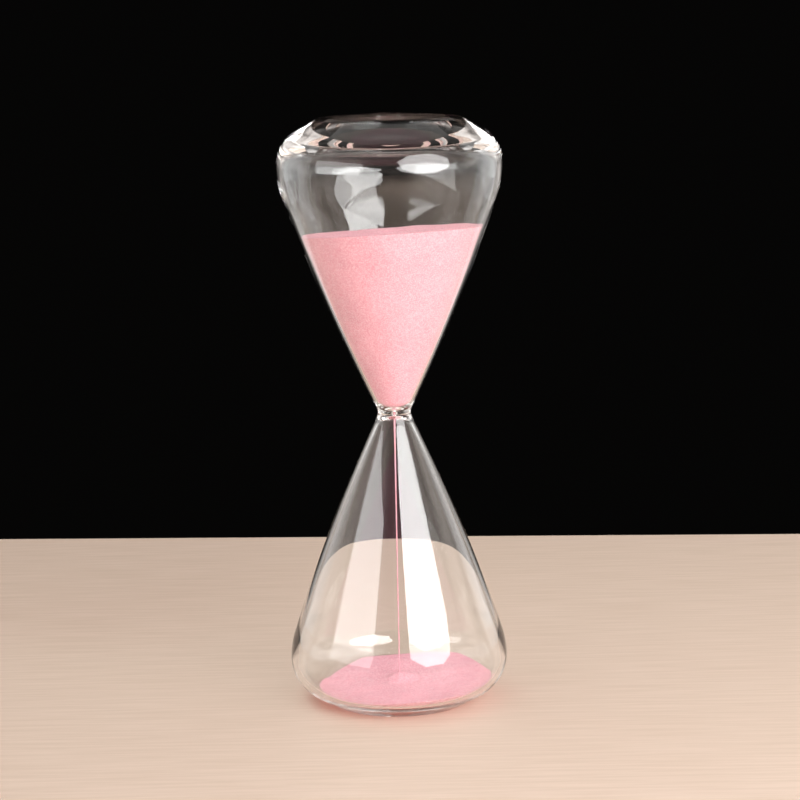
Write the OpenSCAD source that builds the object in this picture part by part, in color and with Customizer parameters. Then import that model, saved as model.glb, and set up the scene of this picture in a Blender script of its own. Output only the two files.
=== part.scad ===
// Frameless hourglass of clear lampworked glass, with pink sand part way through
// its run. Two cone-shaped bulbs are fused to a short solid waist that is drilled
// with the orifice. A flat disc closes the wide end of each bulb, so the glass
// stands either way up. The filling hole in the lower disc is closed by a small
// flame-sealed plug.
//
// The glass stands along +Z. The origin is in the middle of the lower end, on the
// surface it stands on. -Y is the front.

/* [Glass outside] */
// Height from one flat end to the other
overall_h = 240; // [200:1:290]
// Widest radius of the upper bulb
upper_r = 45.8; // [38:0.1:55]
// Widest radius of the lower bulb
lower_r = 44.8; // [37:0.1:54]
// Radius of the flat that each end stands on
foot_r = 29.5; // [24:0.1:35.4]
// Slope of the glass between that flat and the shoulder, in degrees from level
foot_slope = 29; // [25:0.5:34]
// Radius of the shoulder's curve above the foot, less where the wall has no room for it
shoulder_r = 16; // [13.5:0.5:19]
// Radius of the belly's curve between the shoulder and the cone
belly_r = 34; // [28.5:0.5:41]
// Radius of the slight outward curve of the cone
flank_r = 760; // [640:10:1000]

/* [Waist] */
// Outer radius of the waist at its narrowest
waist_r = 6.7; // [5.6:0.1:8]
// Radius of the hollow curve from the waist into the cones
waist_curve_r = 4.5; // [3.8:0.1:5.4]
// How far the waist sits above the middle of the height
waist_rise = 0.5; // [0:0.1:0.6]
// Height of the solid waist piece, from one fused joint to the other
waist_h = 7; // [5.8:0.1:8.4]
// Thickness of glass between the two cavities
web_t = 1.9; // [1.6:0.1:2.3]
// Radius of the orifice that the sand runs through
orifice_r = 0.9; // [0.7:0.05:1.2]

/* [Glass inside] */
// Thickness of the wall along the cones
cone_wall = 1.5; // [1.2:0.1:1.8]
// Thickness of the wall where a bulb is widest
shoulder_wall = 2.6; // [2.1:0.1:3.2]
// Thickness of each end in the middle
end_t = 3; // [2.5:0.1:3.6]
// Radius of the dome inside the upper end
upper_dome_r = 105; // [88:1:126]
// Radius of the gentler dome inside the lower end
lower_dome_r = 280; // [230:10:340]

/* [Ends] */
// Width of the bulb's own rim around each end disc
disc_rim = 1; // [0.8:0.1:1.2]
// Radius of the shallow dish that keeps the middle of each end off the table
dish_r = 20; // [16:0.5:22]
// Depth of that dish
dish_depth = 0.6; // [0.5:0.05:0.7]
// Radius of the filling hole in the lower disc
fill_hole_r = 3; // [2.5:0.1:3.6]
// Radius of the melted head of the plug that closes it
seal_head_r = 4.5; // [3.8:0.1:5.4]

/* [Sand] */
// Height of the upper sand's surface above the middle of the waist
upper_level = 74.5; // [62:0.5:89]
// Height of the lower sand's surface above the table
lower_level = 7; // [5.9:0.1:8.4]
// How far both sand surfaces rise to the right, in degrees
sand_side_tilt = 2.7; // [0:0.1:3.3]
// How far the upper sand's surface rises towards the front, in degrees
upper_front_tilt = 4.4; // [0:0.1:5.3]
// How far the lower sand's surface rises towards the front, in degrees
lower_front_tilt = 3.2; // [0:0.1:3.9]
// Clearance between the sand and the glass
sand_gap = 0.05; // [0.04:0.01:0.1]
// Radius of the hollow that the running sand leaves in the upper surface
dimple_r = 8; // [6.6:0.2:9.6]
// Depth of that hollow
dimple_depth = 4.4; // [3.6:0.1:5.3]
// Radius of the mound under the stream
mound_r = 9; // [7.5:0.5:11]
// Height of the mound
mound_h = 1.6; // [1.3:0.1:2]
// Radius of the falling stream
stream_r = 0.4; // [0.35:0.05:0.5]

/* [Hidden] */
$fn = 96;

neck_h = overall_h / 2 + waist_rise;
disc_r = foot_r - disc_rim;
seal_lift = 0.1;                  // what keeps the plug's head clear of the table
shoulder_room = 0.95;             // most of the room there is that a shoulder takes up
arc_step = 6;                     // longest step along an arc, in degrees
chord = 12;                       // longest step along an arc, in mm
sand_colour = [0.97, 0.66, 0.68];
glass_colour = [0.85, 0.92, 0.93, 0.35];
far = 2 * overall_h;

// Each bulb is [widest radius, radius of the dome inside its end, distance from its
// flat end to the middle of the waist]
upper = [upper_r, upper_dome_r, overall_h - neck_h];
lower = [lower_r, lower_dome_r, neck_h];

// ---- outlines -----------------------------------------------------------------
// Both bulbs share one outline, drawn in the plane [radius, distance from the flat
// end]. It is a chain of arcs that run into each other without a corner.

function web_edge(b) = b[2] - web_t / 2;      // where a bulb's cavity ends
function joint_h(b) = b[2] - waist_h / 2;     // where a bulb is fused to the waist piece

function heading(v) = atan2(v[1], v[0]);
function along(a) = [cos(a), sin(a)];

// Points of an arc about c, from angle a0 to angle a1
function arc(c, r, a0, a1) =
    let (steps = max(2, ceil(abs(a1 - a0) / arc_step), ceil(r * abs(a1 - a0) * PI / 180 / chord)))
    [for (i = [0:steps]) c + r * along(a0 + (a1 - a0) * i / steps)];

// The point that is ra from a and rb from b, to the left of the way from a to b
function crossing(a, ra, b, rb) =
    let (d = norm(b - a), u = (b - a) / d, s = (d * d + ra * ra - rb * rb) / (2 * d))
    a + s * u + sqrt(ra * ra - s * s) * [-u[1], u[0]];

// Radius of the circle that starts at p, curves towards dir and touches the inside
// of the circle of radius r about c
function touching_r(c, r, p, dir) =
    (r * r - (c - p) * (c - p)) / (2 * (r - dir * (c - p)));

// Radius of a bulb's shoulder: a bulb not much wider than its foot has room for less
function shoulder(b) =
    min(shoulder_r, shoulder_room * (b[0] - foot_r) / (1 - sin(foot_slope)));

// How far along the foot's slope the shoulder's curve starts
function slope_length(b) =
    (b[0] - foot_r - shoulder(b) * (1 - sin(foot_slope))) / cos(foot_slope);

// Distance from the flat end to the widest part of a bulb
function widest(b) = slope_length(b) * sin(foot_slope) + shoulder(b) * cos(foot_slope);

function belly_centre(b) = [b[0] - belly_r, widest(b)];
function waist_centre(b) = [waist_r + waist_curve_r, b[2]];
function flank_centre(b) =
    crossing(belly_centre(b), flank_r - belly_r, waist_centre(b), flank_r + waist_curve_r);

// Outside of a bulb and half the waist, as a closed outline
function glass_outline(b) =
    let (
        belly = belly_centre(b),
        waist = waist_centre(b),
        flank = flank_centre(b),
        low = heading(belly - flank),
        high = heading(waist - flank)
    )
    concat(
        [[0, 0], [foot_r, 0]],
        arc([b[0] - shoulder(b), widest(b)], shoulder(b), foot_slope - 90, 0),
        arc(belly, belly_r, 0, low),
        arc(flank, flank_r, low, high),
        arc(waist, waist_curve_r, 180 + high, 180),
        [[0, b[2]]]
    );

// Cavity of a bulb as a closed outline, drawn in by inset for the sand
function cavity_outline(b, inset = 0) =
    let (
        flank = flank_centre(b),
        flank_in = flank_r - cone_wall,
        side = [b[0] - shoulder_wall, widest(b)],
        belly_in = touching_r(flank, flank_in, side, [-1, 0]),
        belly = side - [belly_in, 0],
        tip_in = touching_r(flank, flank_in, [0, web_edge(b)], [0, -1]),
        tip = [0, web_edge(b) - tip_in],
        dome = [0, end_t + b[1]],
        corner_in = touching_r(dome, b[1], side, [-1, 0]),
        corner = side - [corner_in, 0],
        turn = heading(corner - dome),
        low = heading(belly - flank),
        high = heading(tip - flank)
    )
    concat(
        arc(dome, b[1] - inset, -90, turn),
        arc(corner, corner_in - inset, turn, 0),
        arc(belly, belly_in - inset, 0, low),
        arc(flank, flank_in - inset, low, high),
        arc(tip, tip_in - inset, high, 90)
    );

// ---- helpers ------------------------------------------------------------------

// Puts something drawn for the lower bulb upside down at the top
module turned_over() {
    translate([0, 0, overall_h]) mirror([0, 0, 1]) children();
}

// Half plane section between two heights, from one radius outwards
module band(r0, h0, h1) {
    translate([r0, h0]) square([far, h1 - h0]);
}

module cavity(b, inset = 0) {
    rotate_extrude() polygon(cavity_outline(b, inset));
}

// One bulb, standing on its wide end: the wall from the end disc to the waist
module bulb(b) {
    rotate_extrude() difference() {
        polygon(glass_outline(b));
        polygon(cavity_outline(b));
        square([disc_r, widest(b)]);
        band(0, joint_h(b), b[2] + 1);
    }
}

// Half of the waist piece, standing on the joint with its bulb
module half_waist(b) {
    rotate_extrude() difference() {
        polygon(glass_outline(b));
        polygon(cavity_outline(b));
        band(0, -1, joint_h(b));
        square([orifice_r, b[2] + 1]);
    }
}

// Flat end: level on the outside with a shallow dish, gently domed on the inside
module end_disc(b) {
    rotate_extrude() difference() {
        square([disc_r, widest(b)]);
        polygon(cavity_outline(b));
        polygon([
            [0, -1], [dish_r, -1], [dish_r, 0],
            [fill_hole_r, dish_depth], [0, dish_depth]
        ]);
    }
}

// Everything under a surface that rises to the right and to the front
module below(level, front_tilt) {
    translate([0, 0, level])
        rotate([-front_tilt, -sand_side_tilt, 0])
            translate([-far / 2, -far / 2, -far]) cube([far, far, far]);
}

// ---- glass --------------------------------------------------------------------

module upper_bulb() {
    color(glass_colour) turned_over() bulb(upper);
}

module lower_bulb() {
    color(glass_colour) bulb(lower);
}

module neck_waist() {
    color(glass_colour) union() {
        half_waist(lower);
        turned_over() half_waist(upper);
    }
}

module top_disc() {
    color(glass_colour) turned_over() end_disc(upper);
}

module base_disc() {
    color(glass_colour) difference() {
        end_disc(lower);
        translate([0, 0, -1]) cylinder(r = fill_hole_r, h = widest(lower));
    }
}

// Plug of melted glass: a stem in the filling hole under a flat head in the dish
module fill_seal() {
    color(glass_colour) rotate_extrude() difference() {
        polygon([
            [0, seal_lift],
            [seal_head_r - dish_depth / 2, seal_lift],
            [seal_head_r, dish_depth / 2],
            [seal_head_r, dish_depth],
            [fill_hole_r, dish_depth],
            [fill_hole_r, end_t + 1],
            [0, end_t + 1]
        ]);
        polygon(cavity_outline(lower));
        polygon([
            [dish_r, 0], [far, 0], [far, dish_depth],
            [fill_hole_r, dish_depth]
        ]);
    }
}

// ---- sand ---------------------------------------------------------------------

// The sand that is left above: a cone of it, with a hollow where it is running out
module upper_sand() {
    color(sand_colour) difference() {
        intersection() {
            turned_over() cavity(upper, sand_gap);
            below(neck_h + upper_level, upper_front_tilt);
        }
        translate([0, 0, neck_h + upper_level - dimple_depth])
            rotate_extrude()
                polygon([[0, 0], [2 * dimple_r, 2 * dimple_depth], [0, 2 * dimple_depth]]);
    }
}

// The falling thread of sand, from the cavity's lowest point to the mound
module sand_stream() {
    mound_top = lower_level + mound_h;
    cavity_foot = neck_h + web_t / 2 + sand_gap;
    color(sand_colour)
        translate([0, 0, mound_top])
            cylinder(r = stream_r, h = cavity_foot - mound_top);
}

// The layer that has run through, with a low mound under the stream
module lower_sand() {
    color(sand_colour) intersection() {
        cavity(lower, sand_gap);
        union() {
            below(lower_level, lower_front_tilt);
            rotate_extrude() polygon([
                [0, lower_level - mound_h],
                [2 * mound_r - stream_r, lower_level - mound_h],
                [stream_r, lower_level + mound_h],
                [0, lower_level + mound_h]
            ]);
        }
    }
}

upper_bulb();
lower_bulb();
neck_waist();
top_disc();
base_disc();
fill_seal();
upper_sand();
sand_stream();
lower_sand();
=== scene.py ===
# %% [markdown]
# # A frameless hourglass of clear glass
#
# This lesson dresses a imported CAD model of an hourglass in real-looking glass and sand.
# The real object is two blown bulbs that are fused to a short drilled waist, with a flat
# disc of glass melted into each wide end. Pink sand fills most of the upper bulb, falls as
# a thin thread and lies in a thin layer below.
#
# The CAD model is the frame. Each piece here is turned to the same outline and replaces
# the CAD node that it stands for.

# %% The frame
import math

import bpy
from mathutils import Matrix, Vector


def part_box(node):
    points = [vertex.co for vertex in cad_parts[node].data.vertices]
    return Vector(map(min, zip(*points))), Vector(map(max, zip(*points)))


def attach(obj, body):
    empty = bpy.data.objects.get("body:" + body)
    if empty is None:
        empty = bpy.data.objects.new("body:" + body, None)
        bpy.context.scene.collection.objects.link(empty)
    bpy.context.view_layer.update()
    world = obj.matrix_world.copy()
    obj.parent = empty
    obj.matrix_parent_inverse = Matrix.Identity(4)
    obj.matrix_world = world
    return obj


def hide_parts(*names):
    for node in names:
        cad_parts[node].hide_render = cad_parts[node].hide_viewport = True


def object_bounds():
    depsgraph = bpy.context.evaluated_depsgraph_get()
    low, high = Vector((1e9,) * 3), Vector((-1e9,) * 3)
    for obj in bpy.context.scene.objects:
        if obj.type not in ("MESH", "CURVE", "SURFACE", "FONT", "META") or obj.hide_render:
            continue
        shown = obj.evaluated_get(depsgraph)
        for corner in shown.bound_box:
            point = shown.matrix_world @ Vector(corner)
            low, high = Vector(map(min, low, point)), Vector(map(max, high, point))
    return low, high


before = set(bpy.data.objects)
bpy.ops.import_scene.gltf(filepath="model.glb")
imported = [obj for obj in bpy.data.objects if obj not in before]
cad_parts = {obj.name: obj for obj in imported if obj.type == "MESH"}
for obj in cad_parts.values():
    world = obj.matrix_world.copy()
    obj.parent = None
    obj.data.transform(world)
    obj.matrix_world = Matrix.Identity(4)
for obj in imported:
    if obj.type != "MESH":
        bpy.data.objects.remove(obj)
cad_low, cad_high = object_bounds()
print("CAD box in mm:", [round(1000 * side, 2) for side in cad_high - cad_low])

# %% [markdown]
# ## The camera
#
# A long lens a metre away keeps the sides of the glass nearly parallel, as a catalogue
# would show it. It looks down by about ten degrees, so the flat table reads as a plane and
# the sand's surface as an ellipse. A slight roll makes the glass lean a little to the left.
# The camera is made first, because everything else is judged through it.

# %% The camera
camera_data = bpy.data.cameras.new("studio_camera")
camera_data.sensor_width = 36
camera_data.lens = 117
camera_data.clip_start = 0.05
camera_data.clip_end = 20
camera = bpy.data.objects.new("studio_camera", camera_data)
bpy.context.scene.collection.objects.link(camera)
bpy.context.scene.camera = camera

CAMERA_PLACE = Vector((0.00242, -1.0439, 0.3182))
CAMERA_PITCH = math.radians(-10.471)
CAMERA_ROLL = math.radians(-1.124)
looking_ahead = Matrix.Rotation(math.radians(90) + CAMERA_PITCH, 4, "X")
camera.matrix_world = (
    Matrix.Translation(CAMERA_PLACE) @ looking_ahead @ Matrix.Rotation(CAMERA_ROLL, 4, "Z")
)
print("camera to glass in m:", round(CAMERA_PLACE.length, 3))

# %% [markdown]
# ## The sizes
#
# The overall sizes are read from the CAD nodes' boxes, so the glass always fits them. What
# a box can't tell, such as the radius of a shoulder or the thickness of a wall, is named
# here in millimetres, as it is in the CAD model. The two bulbs differ only in their widest
# radius, in the dome inside their end and in how much of the height is theirs, so each is a
# small record of those.

# %% Sizes read from the frame
MM = 0.001
OVERALL_H = cad_high.z - cad_low.z
UPPER_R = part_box("upper_bulb")[1].x
LOWER_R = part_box("lower_bulb")[1].x
DISC_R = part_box("base_disc")[1].x
WAIST_LOW, WAIST_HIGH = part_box("neck_waist")[0].z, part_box("neck_waist")[1].z
NECK_H = (WAIST_LOW + WAIST_HIGH) / 2
print("bulb radii in mm:", round(UPPER_R / MM, 2), round(LOWER_R / MM, 2))
print("fused joints at in mm:", round(WAIST_LOW / MM, 2), round(WAIST_HIGH / MM, 2))

# %% Sizes of the glass
FOOT_R = 29.5 * MM
FOOT_SLOPE = math.radians(29)
SHOULDER_R = 16 * MM
BELLY_R = 34 * MM
FLANK_R = 760 * MM
WAIST_R = 6.7 * MM
WAIST_CURVE_R = 4.5 * MM
WEB_T = 1.9 * MM
ORIFICE_R = 0.9 * MM
CONE_WALL = 1.5 * MM
SHOULDER_WALL = 2.6 * MM
END_T = 3 * MM
UPPER_DOME_R = 105 * MM
LOWER_DOME_R = 280 * MM
DISH_R = 20 * MM
DISH_DEPTH = 0.6 * MM
FILL_HOLE_R = 3 * MM
SEAL_HEAD_R = 4.5 * MM
SEAL_LIFT = 0.1 * MM

# %% The two bulbs' own sizes
class Bulb:
    """Widest radius, radius of the dome in its end, and height of its half of the glass."""

    def __init__(self, radius, dome_r, half_h):
        self.radius = radius
        self.dome_r = dome_r
        self.half_h = half_h
        self.joint_h = half_h - (WAIST_HIGH - WAIST_LOW) / 2
        self.tip_h = half_h - WEB_T / 2


UPPER = Bulb(UPPER_R, UPPER_DOME_R, OVERALL_H - NECK_H)
LOWER = Bulb(LOWER_R, LOWER_DOME_R, NECK_H)

# %% Sizes of the sand
UPPER_LEVEL = 74.5 * MM
LOWER_LEVEL = 7 * MM
SIDE_TILT = math.radians(2.7)
UPPER_FRONT_TILT = math.radians(4.4)
LOWER_FRONT_TILT = math.radians(3.2)
SAND_GAP = 0.05 * MM
DIMPLE_R = 8 * MM
DIMPLE_DEPTH = 4.4 * MM
MOUND_R = 9 * MM
MOUND_H = 1.6 * MM
STREAM_R = 0.4 * MM

# %% [markdown]
# ## The outline
#
# A glassblower turns the bulb in the flame, so its section is a chain of curves that run
# into each other without a corner: shoulder, belly, flank and waist. It could be a Bezier
# curve dragged by eye. Arcs that touch each other are used instead, because they are what
# the CAD model has, and a reflection shows even a slight bump. Points are (radius, height
# above the flat end).

# %% Arcs and tangent circles
ARC_STEP = math.radians(2)
CHORD = 2 * MM


def heading(v):
    return math.atan2(v[1], v[0])


def arc(centre, radius, start, end):
    """Points of an arc from one angle to another, close enough together to look smooth."""
    turn = abs(end - start)
    steps = max(2, math.ceil(turn / ARC_STEP), math.ceil(radius * turn / CHORD))
    angles = [start + (end - start) * i / steps for i in range(steps + 1)]
    return [centre + radius * Vector((math.cos(a), math.sin(a))) for a in angles]


def crossing(a, reach_a, b, reach_b):
    """The point that is reach_a from a and reach_b from b, to the left of the way from a to b."""
    apart = (b - a).length
    ahead = (b - a) / apart
    along = (apart**2 + reach_a**2 - reach_b**2) / (2 * apart)
    left = Vector((-ahead.y, ahead.x))
    return a + along * ahead + math.sqrt(reach_a**2 - along**2) * left


def touching_radius(centre, radius, point, direction):
    """Radius of the circle that leaves point and touches the inside of a larger circle."""
    away = centre - point
    return (radius**2 - away.dot(away)) / (2 * (radius - direction.dot(away)))


# %% The outside and the cavity
def widest(bulb):
    """Height at which a bulb is widest."""
    rise = SHOULDER_R * math.sin(FOOT_SLOPE)
    slope = (bulb.radius - SHOULDER_R - FOOT_R + rise) / math.cos(FOOT_SLOPE)
    return slope * math.sin(FOOT_SLOPE) + SHOULDER_R * math.cos(FOOT_SLOPE)


def flank_centre(bulb):
    belly = Vector((bulb.radius - BELLY_R, widest(bulb)))
    waist = Vector((WAIST_R + WAIST_CURVE_R, bulb.half_h))
    return crossing(belly, FLANK_R - BELLY_R, waist, FLANK_R + WAIST_CURVE_R)


def outside(bulb):
    """Outside of a bulb, from the edge of its foot to the middle of the waist."""
    shoulder = Vector((bulb.radius - SHOULDER_R, widest(bulb)))
    belly = Vector((bulb.radius - BELLY_R, widest(bulb)))
    waist = Vector((WAIST_R + WAIST_CURVE_R, bulb.half_h))
    flank = flank_centre(bulb)
    low, high = heading(belly - flank), heading(waist - flank)
    return (
        [Vector((FOOT_R, 0))]
        + arc(shoulder, SHOULDER_R, FOOT_SLOPE - math.pi / 2, 0)
        + arc(belly, BELLY_R, 0, low)[1:]
        + arc(flank, FLANK_R, low, high)[1:]
        + arc(waist, WAIST_CURVE_R, math.pi + high, math.pi)[1:]
    )


def cavity(bulb, inset=0):
    """Inside of a bulb, from the middle of its floor to its tip, drawn in by inset."""
    flank = flank_centre(bulb)
    flank_in = FLANK_R - CONE_WALL
    side = Vector((bulb.radius - SHOULDER_WALL, widest(bulb)))
    belly_in = touching_radius(flank, flank_in, side, Vector((-1, 0)))
    belly = side - Vector((belly_in, 0))
    tip_in = touching_radius(flank, flank_in, Vector((0, bulb.tip_h)), Vector((0, -1)))
    tip = Vector((0, bulb.tip_h - tip_in))
    dome = Vector((0, END_T + bulb.dome_r))
    shoulder_in = touching_radius(dome, bulb.dome_r, side, Vector((-1, 0)))
    shoulder = side - Vector((shoulder_in, 0))
    turn = heading(shoulder - dome)
    low, high = heading(belly - flank), heading(tip - flank)
    return (
        arc(dome, bulb.dome_r - inset, -math.pi / 2, turn)
        + arc(shoulder, shoulder_in - inset, turn, 0)[1:]
        + arc(belly, belly_in - inset, 0, low)[1:]
        + arc(flank, flank_in - inset, low, high)[1:]
        + arc(tip, tip_in - inset, high, math.pi / 2)[1:]
    )


print("widest at in mm:", round(widest(UPPER) / MM, 2), round(widest(LOWER) / MM, 2))

# %% [markdown]
# ## Cutting an outline into pieces
#
# The bulb, the disc and the waist share one outline. Where they are fused, both pieces must
# end on the same points, or a crack of light shows at the joint. So each outline is split
# once, at a height or at a radius, and the point on the cut goes to both sides.


# %% Splitting an outline
def split(points, part, value):
    """An outline in two, where its radius (part 0) or its height (part 1) first passes value."""
    for i in range(1, len(points)):
        a, b = points[i - 1], points[i]
        if (a[part] - value) * (b[part] - value) <= 0 and a[part] != b[part]:
            cut = a + (b - a) * (value - a[part]) / (b[part] - a[part])
            return points[:i] + [cut], [cut] + points[i:]
    raise ValueError("the outline never passes that value")


def turned_over(points):
    """An outline drawn for the lower bulb, upside down for the upper one."""
    return [Vector((r, OVERALL_H - h)) for r, h in points]


def without_repeats(points):
    kept = [points[0]]
    for point in points[1:]:
        if (point - kept[-1]).length > 0.001 * MM:
            kept.append(point)
    return kept


# %% [markdown]
# ## Turning a piece
#
# A lathe-turned shape is made the way it is by hand: one vertex is extruded along the
# outline, and the outline is spun about the axis. Spin leaves a doubled seam where it
# closes, and a stack of doubles on the axis, so those are merged, and only then are the
# normals set to point outwards.

# %% The lathe
TURN_STEPS = 256
MERGE = 0.0005 * MM


def select_only(piece):
    bpy.ops.object.select_all(action="DESELECT")
    piece.select_set(True)
    bpy.context.view_layer.objects.active = piece


def first_vertex(name, point):
    """A new piece that is one vertex, in edit mode: a small plane merged at its middle."""
    bpy.ops.object.select_all(action="DESELECT")
    bpy.ops.mesh.primitive_plane_add(size=MM, location=(0, 0, 0))
    piece = bpy.context.object
    piece.name = piece.data.name = name
    bpy.ops.object.mode_set(mode="EDIT")
    bpy.ops.mesh.select_all(action="SELECT")
    bpy.ops.mesh.merge(type="CENTER")
    bpy.ops.transform.translate(value=(point[0], 0, point[1]))
    return piece


def draw(points):
    """Extrudes the selected vertex from point to point."""
    for a, b in zip(points, points[1:]):
        step = (b[0] - a[0], 0, b[1] - a[1])
        bpy.ops.mesh.extrude_vertices_move(TRANSFORM_OT_translate={"value": step})


def turn(name, points, closed=True, steps=TURN_STEPS):
    """A piece that is turned to an outline. A closed outline doesn't touch the axis."""
    points = without_repeats(points)
    piece = first_vertex(name, points[0])
    draw(points + points[:1] if closed else points)
    bpy.ops.mesh.select_all(action="SELECT")
    bpy.ops.mesh.spin(steps=steps, angle=math.tau, center=(0, 0, 0), axis=(0, 0, 1))
    bpy.ops.mesh.select_all(action="SELECT")
    bpy.ops.mesh.remove_doubles(threshold=MERGE)
    bpy.ops.mesh.normals_make_consistent(inside=False)
    bpy.ops.object.mode_set(mode="OBJECT")
    return piece


# %% [markdown]
# ## Uneven surfaces
#
# Hand-blown glass is never quite even, and poured sand is never quite flat. A bump map
# could fake both, but the shape itself is changed here, so it holds from every side. A soft
# cloud pattern moves the points of a vertex group along their normals.


# %% Relief
def relief(piece, group_name, grain, depth, level=0.5):
    """Moves a vertex group by a cloud pattern. Level 1 only presses in, 0.5 does both."""
    texture = bpy.data.textures.new(piece.name + "_relief", "CLOUDS")
    texture.noise_scale = grain
    texture.noise_depth = 2
    displace = piece.modifiers.new("relief", "DISPLACE")
    displace.texture = texture
    displace.texture_coords = "LOCAL"
    displace.strength = depth
    displace.mid_level = level
    displace.vertex_group = group_name
    select_only(piece)
    bpy.ops.object.modifier_apply(modifier=displace.name)


# %% [markdown]
# ## Building a material
#
# A material is a small network of nodes. Blender's editor shows it as boxes and wires. Here
# a few helpers each add one box with its wires, so that a material reads as a list of what
# it does.

# %% Helpers for materials
def new_material(name):
    material = bpy.data.materials.new(name)
    material.use_nodes = True
    nodes = material.node_tree.nodes
    nodes.clear()
    return material, nodes, material.node_tree.links


def maths(nodes, links, operation, *values):
    """A Math node. Each value is another node's socket or a plain number."""
    node = nodes.new("ShaderNodeMath")
    node.operation = operation
    for socket, value in zip(node.inputs, values):
        if isinstance(value, (int, float)):
            socket.default_value = value
        else:
            links.new(value, socket)
    return node.outputs["Value"]


def ranged(nodes, links, value, seen, given, how="LINEAR"):
    """A Map Range node, from the two ends of the range seen to those of the range given."""
    node = nodes.new("ShaderNodeMapRange")
    node.interpolation_type = how
    node.inputs["From Min"].default_value, node.inputs["From Max"].default_value = seen
    node.inputs["To Min"].default_value, node.inputs["To Max"].default_value = given
    links.new(value, node.inputs["Value"])
    return node.outputs["Result"]


def noise(nodes, links, way, scale, detail):
    """A soft cloud pattern, read at the coordinates that way gives."""
    node = nodes.new("ShaderNodeTexNoise")
    node.inputs["Scale"].default_value = scale
    node.inputs["Detail"].default_value = detail
    links.new(way, node.inputs["Vector"])
    return node.outputs["Fac"]


def mixed(nodes, links, share, first, second):
    """Two shaders in one. The second takes the share given."""
    node = nodes.new("ShaderNodeMixShader")
    links.new(share, node.inputs["Fac"])
    links.new(first, node.inputs[1])
    links.new(second, node.inputs[2])
    return node.outputs["Shader"]


def see_through(nodes, colour=(1, 1, 1, 1)):
    node = nodes.new("ShaderNodeBsdfTransparent")
    node.inputs["Color"].default_value = colour
    return node.outputs["BSDF"]


def put_on_surface(nodes, links, shader):
    output = nodes.new("ShaderNodeOutputMaterial")
    links.new(shader, output.inputs["Surface"])


# %% [markdown]
# ## Clear glass, and glass that is fused to glass
#
# Clear glass bends what is seen through it and mirrors the lights. It also gathers light
# into bright patches on what is near it, and tracing those is slow and leaves specks. With
# no such patches, glass throws a shadow that is far too dark. So light on its way to the
# sand or the table passes straight through, a little dimmed, and only what is seen through
# the glass is bent.
#
# Each piece is closed, and where two pieces are fused their end faces lie on each other.
# Glass there would act as a mirror, because light meets glass, air and glass again. The
# joined faces get a second material that lets light straight through, so the pieces look
# melted together while each stays a solid of its own.

# %% Glass and seam materials
GLASS_IOR = 1.47
GLASS_TINT = (0.985, 0.99, 0.988, 1)
GLASS_SHADE = (0.95, 0.955, 0.955, 1)


def clear_glass():
    """Glass that bends what is seen through it, and lets light fall straight through it."""
    material, nodes, links = new_material("clear_glass")
    shader = nodes.new("ShaderNodeBsdfPrincipled")
    shader.inputs["Base Color"].default_value = GLASS_TINT
    shader.inputs["Roughness"].default_value = 0
    shader.inputs["IOR"].default_value = GLASS_IOR
    shader.inputs["Transmission Weight"].default_value = 1
    path = nodes.new("ShaderNodeLightPath").outputs
    lighting = maths(nodes, links, "MAXIMUM", path["Is Shadow Ray"], path["Is Diffuse Ray"])
    straight = see_through(nodes, GLASS_SHADE)
    put_on_surface(nodes, links, mixed(nodes, links, lighting, shader.outputs["BSDF"], straight))
    return material


def fused_seam():
    material, nodes, links = new_material("fused_seam")
    put_on_surface(nodes, links, see_through(nodes))
    return material


CLEAR_GLASS = clear_glass()
FUSED_SEAM = fused_seam()

# %% [markdown]
# ## Finding the joints
#
# On the real glass a joint can't be seen once it has been through the flame. Its faces
# could be picked by hand, but a rule is safer when a size changes: a face belongs to a joint
# if all its corners lie at the joint's radius or height.

# %% Which faces are joints
CLOSE = 0.002 * MM
GLASS_CREASE = math.radians(20)


def at_radius(radius):
    return lambda v: abs(math.hypot(v.x, v.y) - radius) < CLOSE


def at_height(height):
    return lambda v: abs(v.z - height) < CLOSE


def under_plug_head(v):
    """True on the ring where the plug's head lies against the dish."""
    beside_hole = FILL_HOLE_R - CLOSE < math.hypot(v.x, v.y) < SEAL_HEAD_R + CLOSE
    return beside_hole and DISH_DEPTH / 2 + CLOSE < v.z < MM


def finish_glass(piece, node, *joints):
    """Gives a glass piece its two materials and its place in the frame."""
    mesh = piece.data
    mesh.materials.append(CLEAR_GLASS)
    mesh.materials.append(FUSED_SEAM)
    for face in mesh.polygons:
        corners = [mesh.vertices[i].co for i in face.vertices]
        face.material_index = int(any(all(map(joint, corners)) for joint in joints))
    select_only(piece)
    bpy.ops.object.shade_smooth_by_angle(angle=GLASS_CREASE)
    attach(piece, "root")
    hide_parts(node)
    seams = sum(face.material_index for face in mesh.polygons)
    print(piece.name, "faces:", len(mesh.polygons), "of which fused:", seams)
    return piece


# %% [markdown]
# ## The two bulbs
#
# A bulb's closed section runs up the outside to the fused joint, across it, and down the
# inside to the disc. The upper bulb is the same section at its own radius, upside down. The
# wall then gets slight waves, which fade out towards the joints so that the pieces still
# meet.


# %% The bulbs
WAVE = 20 * MM
WAVE_DEPTH = 0.11 * MM
SEAM_FADE = 9 * MM


def bulb_section(bulb):
    wall = split(outside(bulb), 1, bulb.joint_h)[0]
    inner = split(split(cavity(bulb), 0, DISC_R)[1], 1, bulb.joint_h)[0]
    return [Vector((DISC_R, 0))] + wall + inner[::-1]


def blow(piece, seam_h):
    """Makes a bulb's wall slightly uneven, but leaves it true where it is fused."""
    wall = piece.vertex_groups.new(name="wall")
    for v in piece.data.vertices:
        clear = min(abs(v.co.z - seam_h), math.hypot(v.co.x, v.co.y) - DISC_R)
        weight = min(1, clear / SEAM_FADE)
        if weight > 0:
            wall.add([v.index], weight * weight, "REPLACE")
    relief(piece, wall.name, WAVE, WAVE_DEPTH, level=1)


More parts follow.
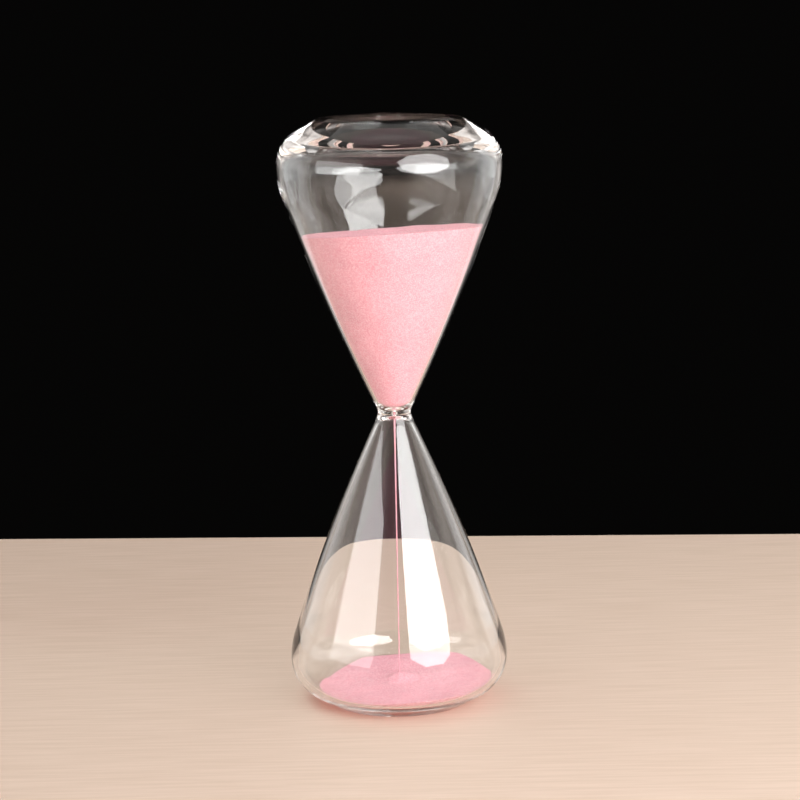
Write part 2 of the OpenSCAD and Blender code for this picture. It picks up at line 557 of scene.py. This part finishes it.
lower_glass = turn("blown_lower_bulb", bulb_section(LOWER))
blow(lower_glass, WAIST_LOW)
finish_glass(lower_glass, "lower_bulb", at_radius(DISC_R), at_height(WAIST_LOW))
upper_glass = turn("blown_upper_bulb", turned_over(bulb_section(UPPER)))
blow(upper_glass, WAIST_HIGH)
finish_glass(upper_glass, "upper_bulb", at_radius(DISC_R), at_height(WAIST_HIGH))

# %% [markdown]
# ## The waist
#
# The waist is the thickest glass and bends the most light. It holds the tips of both
# cavities and the orifice between them. On the real glass a flame has softened the edges of
# the orifice, so they are curves here too.

# %% The waist
ORIFICE_EDGE = 0.35 * MM
EDGE_STEPS = 6


def softened(corner, before, after, reach):
    """A corner of an outline as a small curve between the points reach away from it."""
    a = corner + (before - corner).normalized() * reach
    b = corner + (after - corner).normalized() * reach
    shares = [i / EDGE_STEPS for i in range(EDGE_STEPS + 1)]
    return [(1 - t) ** 2 * a + 2 * t * (1 - t) * corner + t**2 * b for t in shares]


def half_waist(bulb):
    """Outside and cavity of one half of the waist, both from the joint to the middle."""
    wall = split(outside(bulb), 1, bulb.joint_h)[1]
    tip = split(split(cavity(bulb), 1, bulb.joint_h)[1], 0, ORIFICE_R)[0]
    middle = Vector((ORIFICE_R, bulb.half_h))
    while (tip[-1] - tip[-2]).length < ORIFICE_EDGE:
        tip.pop(-2)
    return wall, tip[:-1] + softened(tip[-1], tip[-2], middle, ORIFICE_EDGE)


lower_wall, lower_tip = half_waist(LOWER)
upper_wall, upper_tip = map(turned_over, half_waist(UPPER))
waist_section = lower_wall + upper_wall[::-1] + upper_tip + lower_tip[::-1]
waist_glass = turn("waist", waist_section)
finish_glass(waist_glass, "neck_waist", at_height(WAIST_LOW), at_height(WAIST_HIGH))

# %% [markdown]
# ## The end discs and the plug
#
# Each wide end is closed by a disc with a shallow dish under it, so the glass stands on a
# ring. The lower disc has the hole that the sand was poured through, and a stub of melted
# glass fills it. The underside of the disc has a ring of points at the edge of the plug's
# head, so the faces that are fused to the head are faces of their own.


# %% The discs
def floor_line(bulb, from_r, to_r):
    """The inside of an end, from one radius out to another."""
    line = cavity(bulb)
    if from_r > 0:
        line = split(line, 0, from_r)[1]
    return split(line, 0, to_r)[0]


def dish(radius):
    """A point on the underside of the lower disc."""
    share = (DISH_R - radius) / (DISH_R - FILL_HOLE_R)
    return Vector((radius, DISH_DEPTH * share))


top_section = [Vector((0, DISH_DEPTH)), Vector((DISH_R, 0)), Vector((DISC_R, 0))]
top_section += floor_line(UPPER, 0, DISC_R)[::-1]
top_glass = turn("top_end", turned_over(top_section), closed=False)
finish_glass(top_glass, "top_disc", at_radius(DISC_R))

base_section = [dish(FILL_HOLE_R), dish(SEAL_HEAD_R), dish(DISH_R), Vector((DISC_R, 0))]
base_section += floor_line(LOWER, FILL_HOLE_R, DISC_R)[::-1]
base_glass = turn("base_end", base_section)
finish_glass(base_glass, "base_disc", at_radius(DISC_R), at_radius(FILL_HOLE_R), under_plug_head)

# %% The melted plug
HEAD_BEVEL = DISH_DEPTH / 2
PLUG_STEPS = 64
head_low = Vector((SEAL_HEAD_R - HEAD_BEVEL, SEAL_LIFT))
head_side = Vector((SEAL_HEAD_R, SEAL_LIFT))
plug_section = [Vector((0, SEAL_LIFT))]
plug_section += softened(head_side, head_low, dish(SEAL_HEAD_R), HEAD_BEVEL)
plug_section += [dish(SEAL_HEAD_R), dish(FILL_HOLE_R)]
plug_section += floor_line(LOWER, 0, FILL_HOLE_R)[::-1]
plug_glass = turn("melted_plug", plug_section, closed=False, steps=PLUG_STEPS)
finish_glass(plug_glass, "fill_seal", at_radius(FILL_HOLE_R), under_plug_head)

# %% [markdown]
# ## The sand's colour
#
# The sand is fine dyed quartz. Close to, it is a mix of full pink grains, paler ones and a
# few clear ones that glint. Voronoi cells the size of a grain give each its own colour,
# and a slow noise lets the dye drift a little, as it does in a real batch. The grains also
# raise a fine bump. The grains are clear enough to let some light through, so the shadow of
# the sand is a warm glow on the table.

# %% Sand material
GRAINS_PER_METRE = 3600
SAND_DEEP = (0.76, 0.29, 0.345, 1)
SAND_FULL = (0.80, 0.365, 0.43, 1)
SAND_PALE = (0.87, 0.52, 0.58, 1)
DRIFTS_PER_METRE = 90
DRIFT = (0.94, 1.04)
MATT, GLINTING = 0.85, 0.25
GLINTING_FROM = (0.9, 0.95)
GRAIN_BUMP = 0.12 * MM
GRAIN_BUMP_STRENGTH = 0.5
LIGHT_THROUGH = 0.75
WARM_GLOW = (1, 0.5, 0.42, 1)


def dyed(nodes, links, pick, place):
    """Colour of each grain: picked at random from deep to pale, with the dye's drift."""
    ramp = nodes.new("ShaderNodeValToRGB")
    ramp.color_ramp.elements[0].color = SAND_DEEP
    ramp.color_ramp.elements[1].color = SAND_PALE
    middle = ramp.color_ramp.elements.new(0.5)
    middle.color = SAND_FULL
    links.new(pick, ramp.inputs["Fac"])
    drift = noise(nodes, links, place, DRIFTS_PER_METRE, 4)
    tint = nodes.new("ShaderNodeVectorMath")
    tint.operation = "SCALE"
    links.new(ramp.outputs["Color"], tint.inputs[0])
    links.new(ranged(nodes, links, drift, (0.3, 0.7), DRIFT), tint.inputs["Scale"])
    return tint.outputs["Vector"]


def pink_sand():
    """Matt pink grains, a few of which glint. Some of the light goes through them."""
    material, nodes, links = new_material("pink_sand")
    place = nodes.new("ShaderNodeTexCoord").outputs["Object"]
    grains = nodes.new("ShaderNodeTexVoronoi")
    grains.inputs["Scale"].default_value = GRAINS_PER_METRE
    links.new(place, grains.inputs["Vector"])
    picks = nodes.new("ShaderNodeSeparateColor")
    links.new(grains.outputs["Color"], picks.inputs["Color"])
    finish = ranged(nodes, links, picks.outputs["Green"], GLINTING_FROM, (MATT, GLINTING))
    bump = nodes.new("ShaderNodeBump")
    bump.inputs["Strength"].default_value = GRAIN_BUMP_STRENGTH
    bump.inputs["Distance"].default_value = GRAIN_BUMP
    links.new(grains.outputs["Distance"], bump.inputs["Height"])
    shader = nodes.new("ShaderNodeBsdfPrincipled")
    links.new(dyed(nodes, links, picks.outputs["Red"], place), shader.inputs["Base Color"])
    links.new(finish, shader.inputs["Roughness"])
    links.new(bump.outputs["Normal"], shader.inputs["Normal"])
    path = nodes.new("ShaderNodeLightPath").outputs
    share = ranged(nodes, links, path["Is Shadow Ray"], (0, 1), (0, LIGHT_THROUGH))
    glow = see_through(nodes, WARM_GLOW)
    put_on_surface(nodes, links, mixed(nodes, links, share, shader.outputs["BSDF"], glow))
    return material


PINK_SAND = pink_sand()

# %% [markdown]
# ## Pouring the sand
#
# Sand takes the shape of what it lies in, so its body is turned to the cavity's own
# outline, drawn in by a hair, and cut off by a slightly tilted plane. The open top is then
# closed by hand: the rim is extruded and scaled towards the middle again and again. That
# leaves rings of faces that can be lowered into a hollow or raised into a mound, and fine
# enough to carry the grain of the surface as real relief.

# %% Filling a cavity
RING_STEP = 0.45 * MM
OPEN_SURFACE = "open_surface"
SAND_CREASE = math.radians(40)


def tilted_normal(front_tilt):
    """Normal of a surface that rises to the right and to the front."""
    turn_x = Matrix.Rotation(-front_tilt, 3, "X")
    turn_y = Matrix.Rotation(-SIDE_TILT, 3, "Y")
    return turn_y @ turn_x @ Vector((0, 0, 1))


def cut_off(piece, level, normal):
    """Removes what is above the surface, and leaves its rim selected, in edit mode."""
    select_only(piece)
    bpy.ops.object.mode_set(mode="EDIT")
    bpy.ops.mesh.select_all(action="SELECT")
    bpy.ops.mesh.bisect(
        plane_co=(0, 0, level), plane_no=normal, clear_outer=True, threshold=MERGE
    )


def close_top(piece, level, rim_r, height_at):
    """Closes the selected rim with rings. height_at(radius) lifts or lowers a ring."""
    piece.vertex_groups.new(name=OPEN_SURFACE)
    count = round(rim_r / RING_STEP)
    centre_h, lift = level, 0
    for i in range(count, 1, -1):
        shrink = (i - 1) / i
        bpy.ops.mesh.extrude_edges_move(TRANSFORM_OT_translate={"value": (0, 0, 0)})
        bpy.ops.transform.resize(value=(shrink,) * 3, center_override=(0, 0, centre_h))
        rise = height_at(rim_r * (i - 1) / count) - lift
        bpy.ops.transform.translate(value=(0, 0, rise))
        bpy.ops.object.vertex_group_assign()
        centre_h, lift = centre_h + rise, lift + rise
    bpy.ops.mesh.merge(type="CENTER")
    bpy.ops.mesh.select_all(action="SELECT")
    bpy.ops.mesh.normals_make_consistent(inside=False)
    bpy.ops.object.mode_set(mode="OBJECT")


# %% Finishing the sand
def finish_sand(piece, node):
    piece.data.materials.append(PINK_SAND)
    select_only(piece)
    bpy.ops.object.shade_smooth_by_angle(angle=SAND_CREASE)
    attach(piece, "root")
    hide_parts(node)
    print(piece.name, "faces:", len(piece.data.polygons))
    return piece


# %% [markdown]
# ## The two bodies of sand
#
# The sand above is a cone with a hollow over the orifice, where it is running out. The sand
# below is a thin layer with a low mound under the thread. Both could be flat on top with
# the hollow and the mound as bumps, but they are seen from the side through clear glass, so
# they are real shapes. A fine relief makes the open surface look poured.

# %% The sand above
SAND_STEPS = 192
UPPER_RIM_R = 36 * MM
POURED_GRAIN = 3 * MM
UPPER_RELIEF = 0.35 * MM
HOLLOW_EDGE = 0.12
upper_top = NECK_H + UPPER_LEVEL
upper_normal = tilted_normal(UPPER_FRONT_TILT)


def hollow(radius):
    """Depth of the hollow that the running sand leaves, with a soft edge."""
    share = max(0, 1 - radius / DIMPLE_R)
    return -DIMPLE_DEPTH * (share - HOLLOW_EDGE * math.sin(math.pi * share) * (1 - share))


sand_above = turn("sand_above", turned_over(cavity(UPPER, SAND_GAP)), False, SAND_STEPS)
cut_off(sand_above, upper_top, upper_normal)
close_top(sand_above, upper_top, UPPER_RIM_R, hollow)
relief(sand_above, OPEN_SURFACE, POURED_GRAIN, UPPER_RELIEF)
finish_sand(sand_above, "upper_sand")

# %% The sand below
LOWER_RIM_R = 38 * MM
LOWER_RELIEF = 0.3 * MM


def mound(radius):
    """Height of the low mound under the stream, rounded at the top."""
    share = max(0, 1 - radius / MOUND_R)
    return MOUND_H * share * share * (3 - 2 * share)


lower_normal = tilted_normal(LOWER_FRONT_TILT)
sand_below = turn("sand_below", cavity(LOWER, SAND_GAP), False, SAND_STEPS)
cut_off(sand_below, LOWER_LEVEL, lower_normal)
close_top(sand_below, LOWER_LEVEL, LOWER_RIM_R, mound)
relief(sand_below, OPEN_SURFACE, POURED_GRAIN, LOWER_RELIEF)
finish_sand(sand_below, "lower_sand")

# %% [markdown]
# ## The falling thread
#
# Sand that runs through a small hole falls as a fine thread. It fills the orifice, draws
# out thinner as it speeds up, and wavers. Single grains would be thousands of tiny pieces,
# so the thread is one turned piece whose width wavers on the way down.

# %% The falling thread
STREAM_TOP = NECK_H + WEB_T / 2 + SAND_GAP
STREAM_FOOT = LOWER_LEVEL + MOUND_H
STREAM_RINGS = 200
STREAM_STEPS = 16
THREAD_THIN = 0.5
THREAD_TAPER = 0.25
THREAD_FLARE = 0.4
FLARE_POWER = 12
WAVERS = ((0.06, 97, 0), (0.05, 231, 1))


def thread_section():
    """Section of the stream: full in the orifice, thinner and uneven on the way down."""
    points = [Vector((0, STREAM_FOOT))]
    for i in range(STREAM_RINGS + 1):
        share = i / STREAM_RINGS
        uneven = sum(size * math.sin(pitch * share + begin) for size, pitch, begin in WAVERS)
        flare = THREAD_FLARE * share**FLARE_POWER
        width = STREAM_R * min(1, THREAD_THIN + THREAD_TAPER * share + flare + uneven)
        points.append(Vector((width, STREAM_FOOT + (STREAM_TOP - STREAM_FOOT) * share)))
    return points + [Vector((0, STREAM_TOP))]


falling_sand = turn("falling_sand", thread_section(), closed=False, steps=STREAM_STEPS)
finish_sand(falling_sand, "sand_stream")

# %% [markdown]
# ## The table
#
# The glass stands on a plain pale wooden top, whose far edge shows against the dark. It is
# stage, and not part of the object. The wood has a faint straight grain, because a
# perfectly even surface would give nothing for the glass to bend.

# %% The table
TABLE_DROP = 0.03 * MM
TABLE_T = 0.03
TABLE_BACK = 0.285
TABLE_DEPTH = 2.5
TABLE_WIDTH = 4
TABLE_EDGE = 1.5 * MM
TABLE_YAW = math.radians(-3.2)
WOOD_STRETCH = (6, 120, 120)
WOOD_DEEP = (0.55, 0.43, 0.345, 1)
WOOD_PALE = (0.60, 0.475, 0.39, 1)
WOOD_ROUGHNESS = 0.55
WOOD_SPECULAR = 0.3


def pale_wood():
    """Pale wood with long fine streaks and a dull finish."""
    material, nodes, links = new_material("pale_wood")
    place = nodes.new("ShaderNodeTexCoord")
    stretch = nodes.new("ShaderNodeMapping")
    stretch.inputs["Scale"].default_value = WOOD_STRETCH
    links.new(place.outputs["Object"], stretch.inputs["Vector"])
    ramp = nodes.new("ShaderNodeValToRGB")
    deep, pale = ramp.color_ramp.elements
    deep.position, deep.color = 0.35, WOOD_DEEP
    pale.position, pale.color = 0.65, WOOD_PALE
    links.new(noise(nodes, links, stretch.outputs["Vector"], 4, 6), ramp.inputs["Fac"])
    shader = nodes.new("ShaderNodeBsdfPrincipled")
    shader.inputs["Roughness"].default_value = WOOD_ROUGHNESS
    shader.inputs["Specular IOR Level"].default_value = WOOD_SPECULAR
    links.new(ramp.outputs["Color"], shader.inputs["Base Color"])
    put_on_surface(nodes, links, shader.outputs["BSDF"])
    return material


bpy.ops.object.select_all(action="DESELECT")
bpy.ops.mesh.primitive_cube_add(size=1)
table = bpy.context.object
table.name = "table_top"
bpy.ops.object.mode_set(mode="EDIT")
bpy.ops.mesh.select_all(action="SELECT")
bpy.ops.transform.resize(value=(TABLE_WIDTH, TABLE_DEPTH, TABLE_T), center_override=(0, 0, 0))
middle_y = TABLE_BACK - TABLE_DEPTH / 2
bpy.ops.transform.translate(value=(0, middle_y, -TABLE_DROP - TABLE_T / 2))
bpy.ops.mesh.bevel(offset=TABLE_EDGE, segments=3)
bpy.ops.object.mode_set(mode="OBJECT")
table.data.transform(Matrix.Rotation(TABLE_YAW, 4, "Z"))
table.data.materials.append(pale_wood())

# %% [markdown]
# ## The lights
#
# Two softboxes stand to the left and right of the camera: an eight-sided one on the right
# that is the main light, and a dimmer rectangular one on the left. Two narrow white cards
# stand behind the glass on either side and draw a thin light line down its edges, and a
# faint panel overhead stands for a pale ceiling. Blender's own lamps could light the scene,
# but polished glass shows its lights as shapes, so each light here is a glowing panel with
# the shape of the real one. A panel shines on things and shows in reflections, but it isn't
# seen directly or straight through the glass, so the cards don't show as white bars.

# %% Light panels
GLASS_MIDDLE = Vector((0, 0, OVERALL_H / 2))
LAMP_WHITE = (1, 0.985, 0.98)
CARD_WHITE = (1, 1, 1)
CEILING_WHITE = (1, 0.97, 0.93)


def after_a_bounce(nodes, links):
    """A factor that is 1 for light that has met something other than clear glass."""
    path = nodes.new("ShaderNodeLightPath").outputs
    met = maths(nodes, links, "SUBTRACT", path["Ray Depth"], path["Transmission Depth"])
    return maths(nodes, links, "GREATER_THAN", met, 0.5)


def glowing(name, colour, strength, in_gloss):
    """A panel's surface. in_gloss makes it brighter where it shows in a reflection."""
    material, nodes, links = new_material(name)
    path = nodes.new("ShaderNodeLightPath").outputs
    power = ranged(nodes, links, path["Is Glossy Ray"], (0, 1), (strength, strength * in_gloss))
    emission = nodes.new("ShaderNodeEmission")
    emission.inputs["Color"].default_value = (*colour, 1)
    links.new(power, emission.inputs["Strength"])
    shown = after_a_bounce(nodes, links)
    mix = mixed(nodes, links, shown, see_through(nodes), emission.outputs["Emission"])
    put_on_surface(nodes, links, mix)
    return material


def softbox(name, corners, half_size, bearing, distance, colour, strength, in_gloss=1.0):
    """A panel with that many corners, at that azimuth and elevation from the glass."""
    azimuth, elevation = map(math.radians, bearing)
    level = math.cos(elevation)
    way = Vector((math.sin(azimuth) * level, -math.cos(azimuth) * level, math.sin(elevation)))
    bpy.ops.object.select_all(action="DESELECT")
    bpy.ops.mesh.primitive_circle_add(vertices=corners, radius=1, fill_type="NGON")
    panel = bpy.context.object
    panel.name = name
    flat_side = Matrix.Rotation(math.pi / corners, 4, "Z")
    reach = math.cos(math.pi / corners)
    size = Matrix.Diagonal((half_size[0] / reach, half_size[1] / reach, 1, 1))
    facing = way.to_track_quat("Z", "Y").to_matrix().to_4x4()
    place = Matrix.Translation(GLASS_MIDDLE + distance * way)
    panel.data.transform(place @ facing @ Matrix.Rotation(math.pi, 4, "Y") @ size @ flat_side)
    panel.data.materials.append(glowing(name, colour, strength, in_gloss))


softbox("right_softbox", 8, (0.52, 0.52), (37, 26), 1.15, LAMP_WHITE, 9, in_gloss=1.35)
softbox("left_softbox", 4, (0.53, 0.31), (-54, 16), 1.15, LAMP_WHITE, 3.2, in_gloss=1.6)
softbox("right_reflector", 4, (0.25, 0.6), (125, 20), 1.2, CARD_WHITE, 1.5)
softbox("left_reflector", 4, (0.25, 0.6), (-125, 20), 1.2, CARD_WHITE, 1.2)
softbox("ceiling", 4, (0.8, 0.6), (180, 72), 1.6, CEILING_WHITE, 0.7)

# %% [markdown]
# ## The room round the table
#
# A dark cloth hangs behind the glass, and the rest of the room is lit. Clear glass has no
# colour of its own: its outline is what its edges bend in from the sides, so an all-black
# room would make the outline vanish. The room could be walls with things on them. A world
# whose glow depends on the direction is enough, dark behind and brighter at the sides, with
# soft patches for what stands about in a room.

# %% The room
ROOM_FRONT = 0.16
ROOM_SIDE = 0.9
ROOM_TINT = (1, 0.93, 0.88, 1)
BACKDROP = 0.0018
SOFTLY = "SMOOTHSTEP"
WALLS_BRIGHTEN = (0.2, 0.8)
CLOTH_SIDE = (0.25, 0.5)
CLOTH_FRONT = (-0.2, 0.2)
CLOTH_TOP = (0.6, 0.9)
CLUTTER_SCALE = 2.2
CLUTTER_NOISE = (0.35, 0.65)
CLUTTER_GLOW = (0.35, 1.7)


def room_strength(nodes, links):
    """How strongly the room glows in each direction. Each axis runs from -1 to 1."""
    way = nodes.new("ShaderNodeTexCoord").outputs["Generated"]
    axes = nodes.new("ShaderNodeSeparateXYZ")
    links.new(way, axes.inputs["Vector"])
    sideways = maths(nodes, links, "ABSOLUTE", axes.outputs["X"])
    walls = ranged(nodes, links, sideways, WALLS_BRIGHTEN, (ROOM_FRONT, ROOM_SIDE), SOFTLY)
    beside = ranged(nodes, links, sideways, CLOTH_SIDE, (0, 1), SOFTLY)
    in_front = ranged(nodes, links, axes.outputs["Y"], CLOTH_FRONT, (1, 0), SOFTLY)
    overhead = ranged(nodes, links, axes.outputs["Z"], CLOTH_TOP, (0, 1), SOFTLY)
    round_cloth = maths(nodes, links, "MAXIMUM", beside, in_front)
    off_cloth = maths(nodes, links, "MAXIMUM", round_cloth, overhead)
    clutter = noise(nodes, links, way, CLUTTER_SCALE, 3)
    patches = ranged(nodes, links, clutter, CLUTTER_NOISE, CLUTTER_GLOW, SOFTLY)
    lit_walls = maths(nodes, links, "MULTIPLY", walls, patches)
    lit_room = maths(nodes, links, "MULTIPLY", lit_walls, off_cloth)
    return maths(nodes, links, "ADD", lit_room, BACKDROP)


world = bpy.data.worlds.new("dim_room")
world.use_nodes = True
world.node_tree.nodes.clear()
background = world.node_tree.nodes.new("ShaderNodeBackground")
background.inputs["Color"].default_value = ROOM_TINT
strength = room_strength(world.node_tree.nodes, world.node_tree.links)
world.node_tree.links.new(strength, background.inputs["Strength"])
room_output = world.node_tree.nodes.new("ShaderNodeOutputWorld")
world.node_tree.links.new(background.outputs["Background"], room_output.inputs["Surface"])
bpy.context.scene.world = world
bpy.context.scene.view_settings.view_transform = "Standard"

# %% [markdown]
# ## Light paths
#
# Light crosses the wall of a bulb four times, and in the thick ends and the waist it can
# bounce inside many times before it comes out. Each ray that is given up too soon is a
# black patch in the glass, so it is allowed many more bounces than usual.

# %% Enough bounces for light to find its way out of thick glass
GLASS_BOUNCES = 32
GLOSS_BOUNCES = 24
bounces = bpy.context.scene.cycles
bounces.max_bounces = bounces.transmission_bounces = GLASS_BOUNCES
bounces.transparent_max_bounces = GLASS_BOUNCES
bounces.glossy_bounces = GLOSS_BOUNCES
